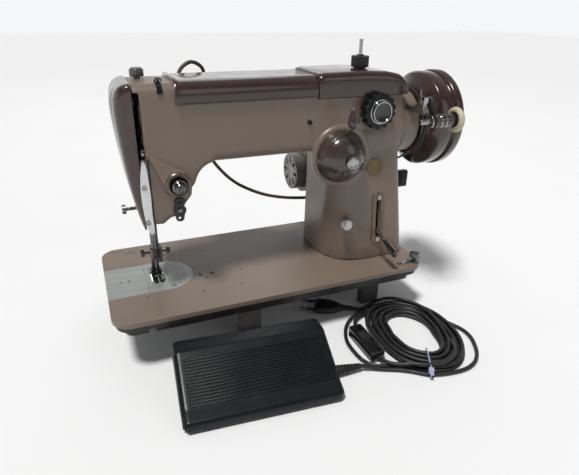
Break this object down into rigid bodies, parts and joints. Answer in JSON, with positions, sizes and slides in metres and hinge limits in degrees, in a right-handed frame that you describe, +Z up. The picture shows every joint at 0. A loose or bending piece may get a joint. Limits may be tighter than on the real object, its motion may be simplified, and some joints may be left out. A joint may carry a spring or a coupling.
{
  "type": "flat-bed zigzag sewing machine",
  "caption": "Flat-bed domestic sewing machine with a cast bed and arm, handwheel, belt motor and lamp behind, foot control and coiled leads.",
  "frame": {"origin": "centre of the bed's work surface", "axes": "+X along the bed towards the handwheel, +Y away from the operator, +Z up out of the work surface"},
  "size_m": [0.4309, 0.3182, 0.3185],
  "materials": {
    "taupe_enamel": "smooth satin enamel",
    "brown_enamel": "glossy enamel",
    "bright_steel": "ground and lightly worn",
    "plated": "polished plating, dulled",
    "grey_casting": "rough cast",
    "grey_enamel": "satin enamel",
    "black_steel": "satin black",
    "black_plastic": "moulded, semi-matte",
    "black_gloss": "moulded, glossy",
    "tan_plastic": "moulded, glossy",
    "cream_rubber": "aged rubber",
    "black_rubber": "matte",
    "brown_cord": "twin flex, dull",
    "lilac_plastic": "soft tie",
    "lamp_glass": "frosted"
  },
  "bodies": {
    "machine": {"bed_casting": "taupe_enamel", "arm_casting": "taupe_enamel", "face_plate": "brown_enamel", "guard_plate": "bright_steel", "arm_top_cover": "brown_enamel", "needle_plate": "bright_steel", "bobbin_case": "bright_steel", "shaft_bearings": "grey_casting", "drive_belts": "black_rubber", "tension_dial": "tan_plastic", "tension_discs": "plated", "thread_guides": "black_steel", "width_dome": "brown_enamel", "stitch_escutcheon": "brown_enamel", "winder_bracket": "grey_casting", "bed_tension": "plated", "motor_body": "grey_enamel", "terminal_block": "black_plastic", "lamp_shade": "grey_enamel", "lamp_bulb": "lamp_glass", "lamp_cord": "brown_cord", "stand_legs": "black_steel", "machine_screws": "plated", "pedal_base": "black_plastic", "pedal_gland": "black_rubber", "pedal_lead": "black_rubber", "mains_lead": "black_rubber", "lead_coil": "black_rubber", "lead_tie": "lilac_plastic", "inline_block": "black_plastic", "mains_plug": "black_plastic"},
    "main_drive": {"arm_shaft": "bright_steel", "handwheel": "brown_enamel"},
    "clutch_knob": {"clutch_knob": "bright_steel"},
    "lower_shaft": {"bed_shaft": "bright_steel"},
    "hook_drive": {"hook": "bright_steel", "hook_shaft": "bright_steel"},
    "bobbin": {"bobbin": "bright_steel"},
    "motor_rotor": {"motor_shaft": "bright_steel"},
    "needle_gate": {"needle_bar_gate": "grey_casting"},
    "needle_bar": {"needle_bar": "bright_steel", "needle": "bright_steel"},
    "take_up": {"take_up_lever": "bright_steel"},
    "presser": {"presser_bar": "bright_steel", "presser_foot": "bright_steel", "presser_spring": "bright_steel"},
    "lifter": {"presser_lifter": "bright_steel"},
    "pressure_screw": {"pressure_screw": "plated"},
    "tension_nut": {"tension_nut": "plated"},
    "width_lever": {"width_lever": "tan_plastic"},
    "pattern_knob": {"pattern_knob": "black_gloss"},
    "stitch_lever": {"stitch_lever": "plated"},
    "clamp_screw": {"clamp_screw": "plated"},
    "lid": {"spool_lid": "brown_enamel", "spool_pin": "bright_steel"},
    "slide_plate": {"slide_plate": "bright_steel"},
    "feed": {"feed_dog": "bright_steel"},
    "winder_arm": {"winder_arm": "brown_enamel"},
    "winder_spindle": {"winder_spindle": "cream_rubber"},
    "tread": {"pedal_tread": "black_plastic"}
  },
  "joints": [
    {"name": "handwheel_turn", "type": "hinge", "parent": "machine", "child": "main_drive", "pos_m": [0, 0, 0.162], "axis": [1, 0, 0], "continuous": true},
    {"name": "clutch_knob_turn", "type": "hinge", "parent": "main_drive", "child": "clutch_knob", "pos_m": [0.24, 0, 0.162], "axis": [1, 0, 0], "range_deg": [0, 120]},
    {"name": "lower_shaft_turn", "type": "hinge", "parent": "machine", "child": "lower_shaft", "pos_m": [0, 0.018, -0.04], "axis": [1, 0, 0], "continuous": true},
    {"name": "hook_turn", "type": "hinge", "parent": "machine", "child": "hook_drive", "pos_m": [0, 0, -0.027], "axis": [1, 0, 0], "continuous": true},
    {"name": "bobbin_turn", "type": "hinge", "parent": "machine", "child": "bobbin", "pos_m": [0, 0, -0.027], "axis": [1, 0, 0], "continuous": true},
    {"name": "motor_turn", "type": "hinge", "parent": "machine", "child": "motor_rotor", "pos_m": [0, 0.076, 0.084], "axis": [1, 0, 0], "continuous": true},
    {"name": "needle_gate_swing", "type": "hinge", "parent": "machine", "child": "needle_gate", "pos_m": [-0.1335, 0, 0.198], "axis": [0, 1, 0], "range_deg": [-0.7, 0.7]},
    {"name": "needle_bar_stroke", "type": "slide", "parent": "needle_gate", "child": "needle_bar", "axis": [0, 0, 1], "range_m": [-0.016, 0.017]},
    {"name": "take_up_swing", "type": "hinge", "parent": "machine", "child": "take_up", "pos_m": [-0.1336, 0.01, 0.172], "axis": [-1, 0, 0], "range_deg": [-6, 45]},
    {"name": "presser_lift", "type": "slide", "parent": "machine", "child": "presser", "axis": [0, 0, 1], "range_m": [0, 0.00656]},
    {"name": "lifter_turn", "type": "hinge", "parent": "machine", "child": "lifter", "pos_m": [-0.114, 0, 0.112], "axis": [0, 1, 0], "range_deg": [0, 80]},
    {"name": "pressure_turn", "type": "hinge", "parent": "machine", "child": "pressure_screw", "pos_m": [-0.125, 0.013, 0.226], "axis": [0, 0, 1], "range_deg": [-180, 180]},
    {"name": "tension_turn", "type": "hinge", "parent": "machine", "child": "tension_nut", "pos_m": [-0.102, 0, 0.1236], "axis": [0, 1, 0], "range_deg": [-150, 150]},
    {"name": "width_lever_swing", "type": "hinge", "parent": "machine", "child": "width_lever", "pos_m": [0.084, 0, 0.1345], "axis": [0, 1, 0], "range_deg": [-30, 30]},
    {"name": "pattern_turn", "type": "hinge", "parent": "machine", "child": "pattern_knob", "pos_m": [0.1255, 0, 0.184], "axis": [0, 1, 0], "range_deg": [-60, 60]},
    {"name": "stitch_lever_swing", "type": "hinge", "parent": "machine", "child": "stitch_lever", "pos_m": [0.138, -0.022, 0.044], "axis": [-1, 0, 0], "range_deg": [-6, 50]},
    {"name": "clamp_turn", "type": "hinge", "parent": "machine", "child": "clamp_screw", "pos_m": [0.092, -0.04383, 0.052], "axis": [0, -0.9968, 0.0799], "range_deg": [-180, 180]},
    {"name": "lid_open", "type": "hinge", "parent": "machine", "child": "lid", "pos_m": [0.11, 0.0406, 0.2035], "axis": [-1, 0, 0], "range_deg": [0, 95]},
    {"name": "slide_plate_open", "type": "slide", "parent": "machine", "child": "slide_plate", "axis": [-1, 0, 0], "range_m": [0, 0.05]},
    {"name": "feed_stroke", "type": "slide", "parent": "machine", "child": "feed", "axis": [0, 1, 0], "range_m": [-0.0016, 0.0016]},
    {"name": "winder_tilt", "type": "hinge", "parent": "machine", "child": "winder_arm", "pos_m": [0.175, -0.058, 0.194], "axis": [1, 0, 0], "range_deg": [-8, 11]},
    {"name": "winder_turn", "type": "hinge", "parent": "winder_arm", "child": "winder_spindle", "pos_m": [0.19, -0.075, 0.175], "axis": [1, 0, 0], "continuous": true},
    {"name": "tread_press", "type": "hinge", "parent": "machine", "child": "tread", "pos_m": [-0.14056, -0.18502, -0.056], "axis": [0.9962, -0.0872, 0], "range_deg": [-8, 0], "stiffness_Nm_per_rad": 1, "springref_deg": 20.05}
  ],
  "couplings": [
    {"joint": "lower_shaft_turn", "follows": "handwheel_turn", "ratio": 1},
    {"joint": "hook_turn", "follows": "handwheel_turn", "ratio": -2},
    {"joint": "motor_turn", "follows": "handwheel_turn", "ratio": 3.886},
    {"joint": "lifter_turn", "follows": "presser_lift", "rad_per_m": 212.8}
  ]
}
